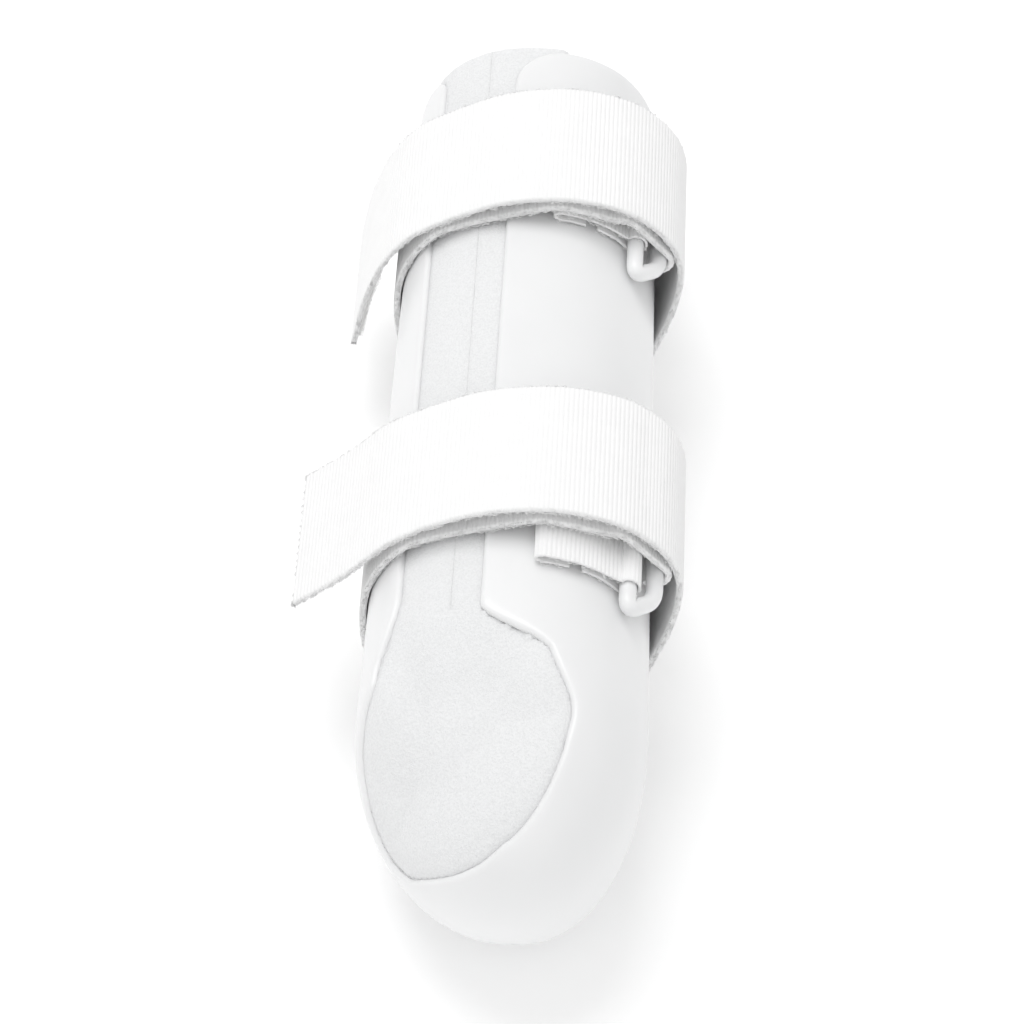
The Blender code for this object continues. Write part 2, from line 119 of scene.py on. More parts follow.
# Camera: degrees round the object and above the floor, and metres from the target.
VIEW_AZIMUTH, VIEW_ELEVATION, VIEW_DISTANCE, VIEW_LENS = 2.6, 47.2, 1.1, 136.5
VIEW_TARGET = (-1.1, 0.0, 40.0)

shell_low, shell_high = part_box("shell")
ORIGIN = np.array([(shell_low.x + shell_high.x) / 2, shell_high.y - FAR_Y * MM, 0.0])
STRAPS = {}
for side_name in ("near", "far"):
    strap_low, strap_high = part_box(f"strap_tail_{side_name}")
    STRAPS[side_name] = ((strap_low.y + strap_high.y) / 2 - ORIGIN[1]) / MM
rng = np.random.default_rng(11)


# ---------------------------------------------------------------- small helpers

def mix(a, b, t):
    return a + (b - a) * t


def ease(t):
    t = np.clip(t, 0.0, 1.0)
    return t * t * (3 - 2 * t)


def signed_power(value, exponent):
    return np.sign(value) * np.abs(value) ** exponent


def smooth_route(points, step):
    """Points about every step along a Catmull-Rom curve through the given points."""
    pts = [Vector(p) for p in points]
    ends = [2 * pts[0] - pts[1]] + pts + [2 * pts[-1] - pts[-2]]
    out = [pts[0]]
    for a, b, c, d in zip(ends, ends[1:], ends[2:], ends[3:]):
        count = max(1, ceil((c - b).length / step))
        for i in range(1, count + 1):
            t = i / count
            out.append(0.5 * (2 * b + (c - a) * t + (2 * a - 5 * b + 4 * c - d) * t * t
                              + (3 * b - a - 3 * c + d) * t ** 3))
    return out


def arc(centre, radius, start, end, steps):
    """Points on an arc, with angles in degrees from +X towards +Z."""
    return [(centre[0] + radius * cos(radians(mix(start, end, i / steps))),
             centre[1] + radius * sin(radians(mix(start, end, i / steps)))) for i in range(steps + 1)]


def lengths(points):
    """Distance travelled at each point of a polyline."""
    steps = np.linalg.norm(np.diff(points, axis=0), axis=1)
    return np.concatenate([[0.0], np.cumsum(steps)])


def resample(points, places, travelled=None):
    """The polyline's points at the given distances along it."""
    points = np.asarray(points, float)
    at = lengths(points) if travelled is None else travelled
    return np.stack([np.interp(places, at, points[:, k]) for k in range(points.shape[1])], axis=1)


def rim_places(length, rim, spacing, soft_start=True, soft_end=True):
    """Distances along an edge-to-edge line, gathered where it turns over a rim."""
    turn = rim * (1 - np.cos(np.linspace(0, pi / 2, 6)))
    first = turn if soft_start else np.array([0.0])
    last = length - turn[::-1] if soft_end else np.array([length])
    count = max(2, int(round((last[0] - first[-1]) / spacing)))
    inner = np.linspace(first[-1], last[0], count + 1)[1:-1]
    return np.concatenate([first, inner, last])


# ---------------------------------------------------------------- shell surface

def section_size(y):
    t = np.clip((FAR_Y - y) / (FAR_Y - DOME_Y), 0.0, 1.0)
    return mix(FAR_HALF_WIDTH, NEAR_HALF_WIDTH, t), mix(FAR_HALF_HEIGHT, NEAR_HALF_HEIGHT, t)


def shell_point(spots, inset):
    """Points on the tube or dome. A spot is laid out flat about the nose: its bearing is the
    section angle, and its distance is the tilt in degrees, then millimetres along the tube."""
    tilt = np.hypot(spots[..., 0], spots[..., 1])
    turn = np.arctan2(spots[..., 0], -spots[..., 1])
    y = DOME_Y + np.maximum(tilt - 90.0, 0.0)
    wide, high = section_size(y)
    power = 2 / SECTION_POWER
    x = (wide - inset) * signed_power(np.sin(turn), power)
    drop = (high - inset) * signed_power(np.cos(turn), power)
    reach = np.cos(np.radians(np.minimum(tilt, 90.0)))
    ring = np.sin(np.radians(np.minimum(tilt, 90.0)))
    return np.stack([x * ring + DOME_SIDE * reach ** 2,
                     y - (DOME_LENGTH - inset) * reach,
                     SHELL_BOTTOM + high - drop * ring - DOME_DROP * reach ** 2], axis=-1)


def tube_point(y, angle, inset=0.0):
    return shell_point(flat_spot(angle, 90.0 + y - DOME_Y), inset)


def offset_point(y, angle, out):
    """A point off the tube's outer face in the XZ plane."""
    here = tube_point(y, angle)
    along = tube_point(y, angle + 0.5) - tube_point(y, angle - 0.5)
    along = along / np.linalg.norm(along)
    return Vector((here[0] + along[2] * out, here[2] - along[0] * out))


def upper_angle(y, x, inset=0.0):
    """Section angle of the point at x on the upper half, from 90 to 270 degrees."""
    wide = section_size(y)[0] - inset
    return 180 - degrees(asin(signed_power(x / wide, SECTION_POWER / 2)))


def corner_back(y, end, radius):
    past = max(0.0, y - (end - radius))
    return radius - sqrt(max(0.0, radius ** 2 - past ** 2))


def flap_edge(y):
    sweep = ease((SWEEP_START - y) / (SWEEP_START - DOME_Y))
    return upper_angle(y, mix(FLAP_X, SWEEP_END_X, sweep) + corner_back(y, FAR_Y, FLAP_CORNER))


def wall_edge(y):
    drop = ease((WALL_SWEEP_START - y) / (WALL_SWEEP_START - DOME_Y))
    x = mix(WALL_X, WALL_END_X, drop) - 0.5 * corner_back(y, FAR_Y, WALL_CORNER)
    return upper_angle(y, x) - 360


def flat_spot(turn, tilt):
    return np.stack(np.broadcast_arrays(tilt * np.sin(np.radians(turn)),
                                        -tilt * np.cos(np.radians(turn))), axis=-1)


def lip_curve():
    ends = flat_spot(wall_edge(DOME_Y), 90.0), flat_spot(flap_edge(DOME_Y) - 360, 90.0)
    route = smooth_route([ends[0]] + [flat_spot(*p) for p in LIP] + [ends[1]], 0.5)
    return np.array([tuple(p) for p in route])


def dome_spots(columns, rows):
    """A Coons patch between the tube's last section and the lip, in the flat layout."""
    left, right = wall_edge(DOME_Y), flap_edge(DOME_Y)
    lip = lip_curve()
    count = len(lip) - 1

    def at(share):
        return resample(lip, np.atleast_1d(share) * count, np.arange(count + 1.0))

    s = np.linspace(0, 1, columns)[None, :, None]
    t = np.linspace(0, 1, rows)[:, None, None]
    start = flat_spot(mix(left, right, s[0, :, 0]), 90.0)[None]
    end = at(mix(LIP_LEFT_SHARE, LIP_RIGHT_SHARE, s[0, :, 0]))[None]
    side_l = at(LIP_LEFT_SHARE * t[:, 0, 0])[:, None]
    side_r = at(mix(1.0, LIP_RIGHT_SHARE, t[:, 0, 0]))[:, None]
    corner = (lip[0] * (1 - s) * (1 - t) + lip[-1] * s * (1 - t)
              + at(LIP_LEFT_SHARE)[0] * (1 - s) * t + at(LIP_RIGHT_SHARE)[0] * s * t)
    return start * (1 - t) + end * t + side_l * (1 - s) + side_r * s - corner


def shell_spots(rim, spacing):
    """Rows of spots over the tube and the dome, gathered along every rim."""
    dense = 420
    rows = []
    stations = FAR_Y - rim_places(FAR_Y - DOME_Y, rim, spacing, soft_end=False)
    for y in stations[:-1]:
        angles = np.linspace(wall_edge(y), flap_edge(y), dense)
        rows.append(flat_spot(angles, 90.0 + y - DOME_Y))
    dome = dome_spots(dense, 60)
    solid = shell_point(dome, 0.0)
    travelled = np.array([lengths(solid[:, c]) for c in range(dense)])
    places = rim_places(travelled[:, -1].mean(), rim, spacing, soft_start=False)
    share = places / travelled[:, -1].mean()
    turn_over = len(places) - 6
    columns = []
    for c in range(dense):
        total = travelled[c, -1]
        own = share * total
        own[turn_over:] = total - (places[-1] - places[turn_over:])
        columns.append(resample(dome[:, c], own, travelled[c]))
    rows += list(np.stack(columns, axis=1))
    across = []
    count = int(round(230.0 / spacing))
    for row in rows:
        at = lengths(shell_point(row, 0.0))
        turn = rim * (1 - np.cos(np.linspace(0, pi / 2, 6)))
        middle = np.linspace(rim, at[-1] - rim, count)[1:-1]
        across.append(resample(row, np.concatenate([turn, middle, at[-1] - turn[::-1]]), at))
    return np.array(across)


def search_tree(points):
    tree = kdtree.KDTree(len(points))
    for i, p in enumerate(points):
        tree.insert(p, i)
    tree.balance()
    return tree


def rim_depth(points, rim):
    """How far each point of a grid draws in from the face to round the rim it is near."""
    edge = np.concatenate([points[0], points[1:, -1], points[-1, -2::-1], points[-2:0:-1, 0]])
    edge = np.concatenate([edge, edge[:1]])
    at = lengths(edge)
    edge = resample(edge, np.arange(0, at[-1], 0.12), at)
    tree = search_tree(edge)
    flat = points.reshape(-1, 3)
    away = np.array([tree.find(p)[2] for p in flat]).reshape(points.shape[:2])
    inside = np.clip(rim - away, 0.0, rim)
    return rim - np.sqrt(rim ** 2 - inside ** 2)


# ---------------------------------------------------------------- meshes

def sheet_faces(rows, cols):
    """Quads of a closed sheet whose outer grid comes first and inner grid second."""
    n = rows * cols
    idx = np.arange(n).reshape(rows, cols)
    outer = np.stack([idx[:-1, :-1], idx[:-1, 1:], idx[1:, 1:], idx[1:, :-1]], axis=-1).reshape(-1, 4)
    inner = outer[:, ::-1] + n
    ring = np.concatenate([idx[0], idx[1:, -1], idx[-1, -2::-1], idx[-2:0:-1, 0]])
    after = np.roll(ring, -1)
    side = np.stack([ring, ring + n, after + n, after], axis=-1)
    return np.concatenate([outer, inner, side])


def add_mesh(name, verts, faces, mat):
    """A smooth-shaded object from millimetre points in the tube's axes."""
    mesh = bpy.data.meshes.new(name)
    mesh.from_pydata((np.asarray(verts) * MM + ORIGIN).tolist(), [], np.asarray(faces).tolist())
    mesh.materials.append(mat)
    mesh.shade_smooth()
    mesh.set_sharp_from_angle(angle=radians(75))
    obj = bpy.data.objects.new(name, mesh)
    bpy.context.scene.collection.objects.link(obj)
    return obj


def add_sheet(name, outer, inner, mat, extra=None):
    verts = np.concatenate([outer.reshape(-1, 3), inner.reshape(-1, 3)])
    faces = sheet_faces(*outer.shape[:2])
    if extra is not None:
        faces = np.concatenate([faces, extra[1] + len(verts)])
        verts = np.concatenate([verts, extra[0]])
    return add_mesh(name, verts, faces, mat)


def grain(points, scale, amount):
    """A soft random height for each point of a grid, in millimetres."""
    flat = points.reshape(-1, 3)
    values = np.array([noise.noise(Vector(p) * scale) for p in flat])
    return values.reshape(points.shape[:2]) * amount


def tubes(paths, radius, sides, closed=False):
    """Vertices and quads of round tubes along paths, an array of (tube, point, xyz)."""
    paths = np.asarray(paths, float)
    ahead = np.roll(paths, -1, axis=1)
    behind = np.roll(paths, 1, axis=1)
    if not closed:
        ahead[:, -1], behind[:, 0] = paths[:, -1], paths[:, 0]
    along = ahead - behind
    along /= np.linalg.norm(along, axis=-1, keepdims=True)
    up = np.where(np.abs(along[..., 2:]) < 0.9, np.array([0.0, 0.0, 1.0]), np.array([1.0, 0.0, 0.0]))
    first = np.cross(along, up)
    first /= np.linalg.norm(first, axis=-1, keepdims=True)
    second = np.cross(along, first)
    angles = np.linspace(0, 2 * pi, sides, endpoint=False)
    around = (first[:, :, None] * np.cos(angles)[None, None, :, None]
              + second[:, :, None] * np.sin(angles)[None, None, :, None])
    size = np.broadcast_to(radius, paths.shape[:2])[..., None, None]
    verts = paths[:, :, None] + around * size
    count, length = paths.shape[:2]
    idx = np.arange(count * length * sides).reshape(count, length, sides)
    nxt = np.roll(idx, -1, axis=2)
    if closed:
        far, far_nxt = np.roll(idx, -1, axis=1), np.roll(nxt, -1, axis=1)
        quads = np.stack([idx, far, far_nxt, nxt], axis=-1)
    else:
        quads = np.stack([idx[:, :-1], idx[:, 1:], nxt[:, 1:], nxt[:, :-1]], axis=-1)
    return verts.reshape(-1, 3), quads.reshape(-1, 4)


# ---------------------------------------------------------------- materials

def new_material(name, colour, roughness, **inputs):
    mat = bpy.data.materials.new(name)
    mat.use_nodes = True
    shader = mat.node_tree.nodes["Principled BSDF"]
    shader.inputs["Base Color"].default_value = (*colour, 1.0)
    shader.inputs["Roughness"].default_value = roughness
    for key, value in inputs.items():
        shader.inputs[key.replace("_", " ")].default_value = value
    return mat


def texture(mat, kind, scale, detail=2.0):
    """A texture node in object space, in metres."""
    nodes, links = mat.node_tree.nodes, mat.node_tree.links
    place = nodes.get("Texture Coordinate") or nodes.new("ShaderNodeTexCoord")
    node = nodes.new(kind)
    node.inputs["Scale"].default_value = scale
    if "Detail" in node.inputs:
        node.inputs["Detail"].default_value = detail
    links.new(place.outputs["Object"], node.inputs["Vector"])
    return node


def vary_colour(mat, source, dark, light, low=0.3, high=0.7):
    """Base colour runs from dark to light with the source's value."""
    nodes, links = mat.node_tree.nodes, mat.node_tree.links
    ramp = nodes.new("ShaderNodeValToRGB")
    ramp.color_ramp.elements[0].position = low
    ramp.color_ramp.elements[1].position = high
    ramp.color_ramp.elements[0].color = (*dark, 1.0)
    ramp.color_ramp.elements[1].color = (*light, 1.0)
    links.new(source, ramp.inputs["Fac"])
    links.new(ramp.outputs["Color"], nodes["Principled BSDF"].inputs["Base Color"])


def vary_roughness(mat, source, low, high):
    nodes, links = mat.node_tree.nodes, mat.node_tree.links
    node = nodes.new("ShaderNodeMapRange")
    node.inputs["To Min"].default_value = low
    node.inputs["To Max"].default_value = high
    links.new(source, node.inputs["Value"])
    links.new(node.outputs["Result"], nodes["Principled BSDF"].inputs["Roughness"])


def add_bump(mat, source, distance, strength=1.0):
    """Adds a bump on top of any the material already has."""
    nodes, links = mat.node_tree.nodes, mat.node_tree.links
    shader = nodes["Principled BSDF"]
    bump = nodes.new("ShaderNodeBump")
    bump.inputs["Distance"].default_value = distance
    bump.inputs["Strength"].default_value = strength
    links.new(source, bump.inputs["Height"])
    for link in list(shader.inputs["Normal"].links):
        links.new(link.from_socket, bump.inputs["Normal"])
    links.new(bump.outputs["Normal"], shader.inputs["Normal"])


def plastic_material():
    mat = new_material("moulded_plastic", (0.835, 0.838, 0.841), 0.34, Coat_Weight=0.08,
                       Coat_Roughness=0.2, Subsurface_Weight=0.35, Subsurface_Scale=0.003,
                       Subsurface_Radius=(1.0, 1.0, 1.0))
    cloudy = texture(mat, "ShaderNodeTexNoise", 22.0, 3.0)
    vary_colour(mat, cloudy.outputs["Fac"], (0.82, 0.823, 0.826), (0.85, 0.853, 0.856))
    fine = texture(mat, "ShaderNodeTexNoise", 900.0, 2.0)
    vary_roughness(mat, cloudy.outputs["Fac"], 0.28, 0.42)
    add_bump(mat, cloudy.outputs["Fac"], 0.0009, 0.35)
    add_bump(mat, fine.outputs["Fac"], 0.00004, 0.5)
    return mat


def foam_material():
    mat = new_material("closed_cell_foam", (0.82, 0.825, 0.83), 0.95, Sheen_Weight=0.1,
                       Subsurface_Weight=0.3, Subsurface_Scale=0.002, Subsurface_Radius=(1.0, 1.0, 1.0))
    cells = texture(mat, "ShaderNodeTexVoronoi", 2300.0)
    specks = texture(mat, "ShaderNodeTexNoise", 1500.0, 3.0)
    wear = texture(mat, "ShaderNodeTexNoise", 35.0, 3.0)
    vary_colour(mat, specks.outputs["Fac"], (0.79, 0.795, 0.80), (0.84, 0.845, 0.85), 0.36, 0.6)
    add_bump(mat, wear.outputs["Fac"], 0.0006, 0.4)
    add_bump(mat, specks.outputs["Fac"], 0.0003, 0.7)
    add_bump(mat, cells.outputs["Distance"], 0.0002, 0.5)
    return mat


def webbing_material():
    mat = new_material("ribbed_webbing", (0.90, 0.90, 0.90), 0.92, Sheen_Weight=0.1)
    yarn = texture(mat, "ShaderNodeTexNoise", 1900.0, 3.0)
    patch = texture(mat, "ShaderNodeTexNoise", 160.0, 3.0)
    vary_colour(mat, patch.outputs["Fac"], (0.89, 0.89, 0.89), (0.91, 0.91, 0.91))
    add_bump(mat, yarn.outputs["Fac"], 0.00022, 0.6)
    return mat


def hook_material():
    mat = new_material("hook_tape", (0.82, 0.82, 0.81), 0.6)
    weave = texture(mat, "ShaderNodeTexNoise", 1400.0, 2.0)
    vary_colour(mat, weave.outputs["Fac"], (0.76, 0.76, 0.75), (0.84, 0.84, 0.83))
    add_bump(mat, weave.outputs["Fac"], 0.0002, 0.5)
    return mat


def rivet_material():
    mat = new_material("rivet_metal", (0.75, 0.75, 0.76), 0.35, Metallic=1.0)
    scuff = texture(mat, "ShaderNodeTexNoise", 700.0, 3.0)
    vary_roughness(mat, scuff.outputs["Fac"], 0.25, 0.5)
    add_bump(mat, scuff.outputs["Fac"], 0.00005, 0.4)
    return mat


def floor_material():
    mat = new_material("pale_floor", (0.95, 0.95, 0.95), 0.9, Specular_IOR_Level=0.0,
                       Emission_Color=(1.0, 1.0, 1.0, 1.0), Emission_Strength=0.12)
    return mat


# ---------------------------------------------------------------- shell and foam

def make_shell():
    spots = shell_spots(PLASTIC_RIM, 2.0)
    depth = rim_depth(shell_point(spots, 0.0), PLASTIC_RIM)
    outer, inner = shell_point(spots, depth), shell_point(spots, PLASTIC - depth)
    shell = add_sheet("shell_plastic", outer, inner, plastic)
    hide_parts("shell")
    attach(shell, "protector")


def opening_depths(spots, lip):
    """For a grid of spots, how far the foam sinks in the window and swells in the opening."""
    tilt = np.hypot(spots[..., 0], spots[..., 1])
    turn = np.degrees(np.arctan2(spots[..., 0], -spots[..., 1])) % 360
    tree = search_tree([(*p, 0.0) for p in lip])
    nearest = np.array([tree.find((*p, 0.0))[1] for p in spots.reshape(-1, 2)]).reshape(tilt.shape)
    to_lip = spots - lip[nearest]
    inward = np.array(LIP_MIDDLE) - lip[nearest]
    within = (to_lip * inward).sum(axis=-1) > 0
    far_off = np.linalg.norm(to_lip, axis=-1)
    fade = ease((SINK_START - tilt) / (SINK_START - SINK_FULL))

    def edge_angles(edge_of, ys):
        return np.array([edge_of(min(y, FAR_Y)) for y in ys])

    ys = np.linspace(FAR_Y + FOAM_PAST_END, DOME_Y, EDGE_STEPS)
    walls = flat_spot(edge_angles(wall_edge, ys), 90.0 + ys - DOME_Y)
    flaps = flat_spot(edge_angles(flap_edge, ys), 90.0 + ys - DOME_Y)
    edge = shell_point(np.concatenate([walls, lip, flaps]), 0.0)
    rim = search_tree(edge)
    solid = shell_point(spots, 0.0)
    away = np.array([rim.find(p)[2] for p in solid.reshape(-1, 3)]).reshape(tilt.shape)
    rows_y = np.maximum(DOME_Y + tilt[:, 0] - 90.0, DOME_Y)
    wall = edge_angles(wall_edge, rows_y)[:, None] + 360
    flap = edge_angles(flap_edge, rows_y)[:, None]
    between = (turn > flap) & (turn < wall)
    open_here = np.where(tilt > 90.0, between, within)
    signed = np.where(open_here, away, -away)
    sink = np.where(open_here, SINK * fade * ease(far_off / SINK_REACH), 0.0)
    return sink, SWELL * ease(signed / SWELL_WIDTH + 1.0)


def make_liner():
    """A closed sock of foam. Its slit runs along the top from the far end to the dome."""
    top = PLASTIC + LINER_FIT
    end = FAR_Y + FOAM_PAST_END
    stations = end - rim_places(end - DOME_Y, FOAM_RIM, LINER_SPACING, soft_end=False)
    rows, edges = [], []
    for y in stations:
        parting = ease((y - SLIT_END_Y) / SLIT_TAPER)
        slit = upper_angle(y, SLIT_X, top)
        gap = degrees(SLIT_GAP / 2 / NEAR_HALF_WIDTH) * parting
        gather = np.degrees(FOAM_RIM * (1 - np.cos(np.linspace(0, pi / 2, 6))) / NEAR_HALF_WIDTH)
        first, last = slit - 360 + gap, slit - gap
        inner = np.linspace(first + gather[-1], last - gather[-1], LINER_COLUMNS)[1:-1]
        turns = np.concatenate([first + gather, inner, last - gather[::-1]])
        rows.append(flat_spot(turns, 90.0 + y - DOME_Y))
        from_slit = np.radians(np.minimum(turns - first, last - turns)) * NEAR_HALF_WIDTH
        from_slit = from_slit + FOAM_RIM - SLIT_RIM * parting
        edges.append(np.minimum(from_slit, end - y))
    slit_rows = int((stations > SLIT_END_Y).sum())
    for tilt in np.linspace(90.0, 0.0, LINER_DOME_ROWS + 1)[1:]:
        rows.append(flat_spot(turns, tilt))
        edges.append(np.full(len(turns), FOAM_RIM))
    spots = np.array(rows)
    sink, swell = opening_depths(spots, lip_curve())
    inside = np.clip(FOAM_RIM - np.array(edges), 0.0, FOAM_RIM)
    depth = FOAM_RIM - np.sqrt(FOAM_RIM ** 2 - inside ** 2)
    level = top + sink - swell
    rough = np.abs(grain(shell_point(spots, top), FOAM_GRAIN_SCALE, FOAM_GRAIN))
    rough[slit_rows:, -1] = rough[slit_rows:, 0]
    rough[-1] = 0.0
    outer = shell_point(spots, level + depth + rough)
    inner = shell_point(spots, level + FOAM - depth)
    count, width = outer.shape[:2]
    faces = sheet_faces(count, width)
    rims = faces[2 * (count - 1) * (width - 1):]
    open_rims = rims[((rims % (count * width)) // width).max(axis=1) < slit_rows]
    faces = np.concatenate([faces[:-len(rims)], open_rims])
    verts = np.concatenate([outer.reshape(-1, 3), inner.reshape(-1, 3)])
    liner = add_mesh("liner_foam", verts, faces, foam)
    bm = bmesh.new()
    bm.from_mesh(liner.data)
    bmesh.ops.remove_doubles(bm, verts=bm.verts, dist=0.005 * MM)
    bm.to_mesh(liner.data)
    bm.free()
    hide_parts("liner")
    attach(liner, "protector")


# ---------------------------------------------------------------- straps

def strap_edges(side):
    return STRAPS[side] + STRAP_WIDTH / 2, STRAPS[side] - STRAP_WIDTH / 2


def strap_section(side):
    return strap_edges(side)[1]


def ring_middle(side):
    return STRAPS[side] + RING_SHIFT[side]


def start_edges(side):
    half = FREE_HALF - START_MARGIN
    middle = ring_middle(side)
    far, near = strap_edges(side)
    return min(far, middle + half), max(near, middle - half)


def local(side, spot):
    """Moves a spot drawn for the largest section to where this strap's section has it."""
    wide, high = section_size(strap_section(side))
    x_scale, z_scale = wide / NEAR_HALF_WIDTH, high / NEAR_HALF_HEIGHT
    return Vector((spot[0] * x_scale, SHELL_BOTTOM + (spot[1] - SHELL_BOTTOM) * z_scale))


def strap_routes(side):
    """Dense routes in XZ of the strap's turn round the ring, its wrap, its tail and its tip."""
    y = strap_section(side)
    turn = arc(local(side, RING_FREE), BAR_RADIUS + FIT + STRAP_THICK / 2, 215 - 360, 40, 60)
    last = Vector(turn[-1])
    lead = Vector(START_LEAD)
    over = [last + lead * 3.4] + [offset_point(y, angle, out) for angle, out in WRAP_OVER]
    left = [offset_point(y, angle, HUG) for angle in range(230, 330, 12)]
    ease_x, ease_z = FLAT_EASE
    wrap = smooth_route(over + left + [(-ease_x, ease_z)], 0.6)
    wrap += [Vector((x, STRAP_THICK / 2)) for x in np.linspace(-FLAT_HALF, FLAT_HALF, 24)]
    right = [offset_point(y, angle, HUG) for angle in range(32, 66, 11)]
    wrap += smooth_route([(ease_x, ease_z)] + right + [local(side, TAIL_START)], 0.6)
    tail = smooth_route([local(side, p) for p in [TAIL_START, *TAIL_ROUTE, TIP_START]], 0.6)
    tip = smooth_route([local(side, p) for p in [TIP_START, *TIP_ROUTES[side]]], 0.6)
    return [np.array([tuple(p) for p in route]) for route in (turn + [last + lead * 1.7], wrap, tail, tip)]


def pile(anchors, outward, along, count, height, seed):
    """Small yarn loops that stand out of an edge. Anchors, outward and along are per point."""
    pick = np.random.default_rng(seed)
    spot = pick.integers(0, len(anchors), count)
    sideways = np.cross(outward, along)[spot]
    base = anchors[spot] + (pick.random((count, 1)) - 0.5) * STRAP_THICK * 0.8 * sideways
    base = base + along[spot] * (pick.random((count, 1)) - 0.5) * 0.6
    out = outward[spot] + 0.55 * (pick.random((count, 3)) - 0.5)
    side = along[spot] + 0.9 * (pick.random((count, 3)) - 0.5)
    tall = height * (0.5 + pick.random((count, 1)))
    wide = 0.28 + 0.25 * pick.random((count, 1))
    steps = np.linspace(0, pi, 6)
    paths = np.stack([base + side * wide * -cos(q) + out * (tall * sin(q) - 0.15) for q in steps], axis=1)
    return tubes(paths, 0.085, 3)


def strip(name, route, travelled, edges, lift, mat, thickness, ribs=True, soft=(False, False), loops=0):
    """Webbing along a dense XZ route. Edges and lift give values at a share of the route."""
    at = lengths(route)
    step = RIB_PITCH / RIB_STEPS
    places = np.linspace(0, at[-1], max(2, int(at[-1] / step)) + 1)
    centre = resample(route, places, at)
    ahead = resample(route, np.clip(places + 0.8, 0, at[-1]), at)
    behind = resample(route, np.clip(places - 0.8, 0, at[-1]), at)
    along = ahead - behind
    along /= np.linalg.norm(along, axis=1, keepdims=True)
    normal = np.stack([along[:, 1], -along[:, 0]], axis=1)
    share = places / at[-1]
    far, near = (np.array([edges(s)[k] for s in share]) for k in (0, 1))
    up_far, up_near = (np.array([lift(s)[k] for s in share]) for k in (0, 1))
    rim = thickness * 0.42
    across = rim_places(STRAP_WIDTH, rim, 2.6) / STRAP_WIDTH
    wobble = EDGE_WOBBLE * np.array([[noise.noise(Vector((travelled + p, k * 31.0, 0))) for k in (0, 1)]
                                     for p in places])
    near, far = near + np.abs(wobble[:, 0]), far - np.abs(wobble[:, 1])
    y = near[:, None] + (far - near)[:, None] * across[None]
    z_up = up_near[:, None] + (up_far - up_near)[:, None] * across[None]
    from_edge = np.minimum(across, 1 - across)[None] * STRAP_WIDTH * np.ones_like(y)
    if soft[0]:
        from_edge = np.minimum(from_edge, places[:, None])
    if soft[1]:
        from_edge = np.minimum(from_edge, (at[-1] - places)[:, None])
    inside = np.clip(rim - from_edge, 0.0, rim)
    depth = rim - np.sqrt(rim ** 2 - inside ** 2)
    rib = np.abs(np.cos(pi * (travelled + places) / RIB_PITCH)) ** 0.7
    top = thickness / 2 - (RIB_DEPTH * (1 - rib) if ribs else 0.0) * np.ones_like(places)

    def face(height):
        return np.stack([centre[:, 0:1] + normal[:, 0:1] * height, y,
                         centre[:, 1:2] + z_up + normal[:, 1:2] * height], axis=-1)

    outer, inner = face(top[:, None] - depth), face(-(thickness / 2 - depth))
    extra = None
    if loops:
        middle = (outer + inner) / 2
        direction = np.stack([along[:, 0], np.zeros(len(along)), along[:, 1]], axis=1)
        both = [pile(middle[:, k], np.tile([0.0, out, 0.0], (len(middle), 1)), direction,
                     int(loops * at[-1]), 0.55, seed)
                for k, out, seed in ((0, -1.0, 3), (-1, 1.0, 4))]
        if soft[1]:
            width = middle.shape[1]
            both.append(pile(middle[-1], np.tile(direction[-1], (width, 1)),
                             np.tile([0.0, 1.0, 0.0], (width, 1)), int(loops * STRAP_WIDTH), 0.5, 5))
        offset, verts, faces = 0, [], []
        for points, quads in both:
            verts.append(points)
            faces.append(quads + offset)
            offset += len(points)
        extra = np.concatenate(verts), np.concatenate(faces)
    return add_sheet(name, outer, inner, mat, extra)


def blend_over(piece):
    """Bakes a strap piece's placement into its mesh points."""
    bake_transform(piece)


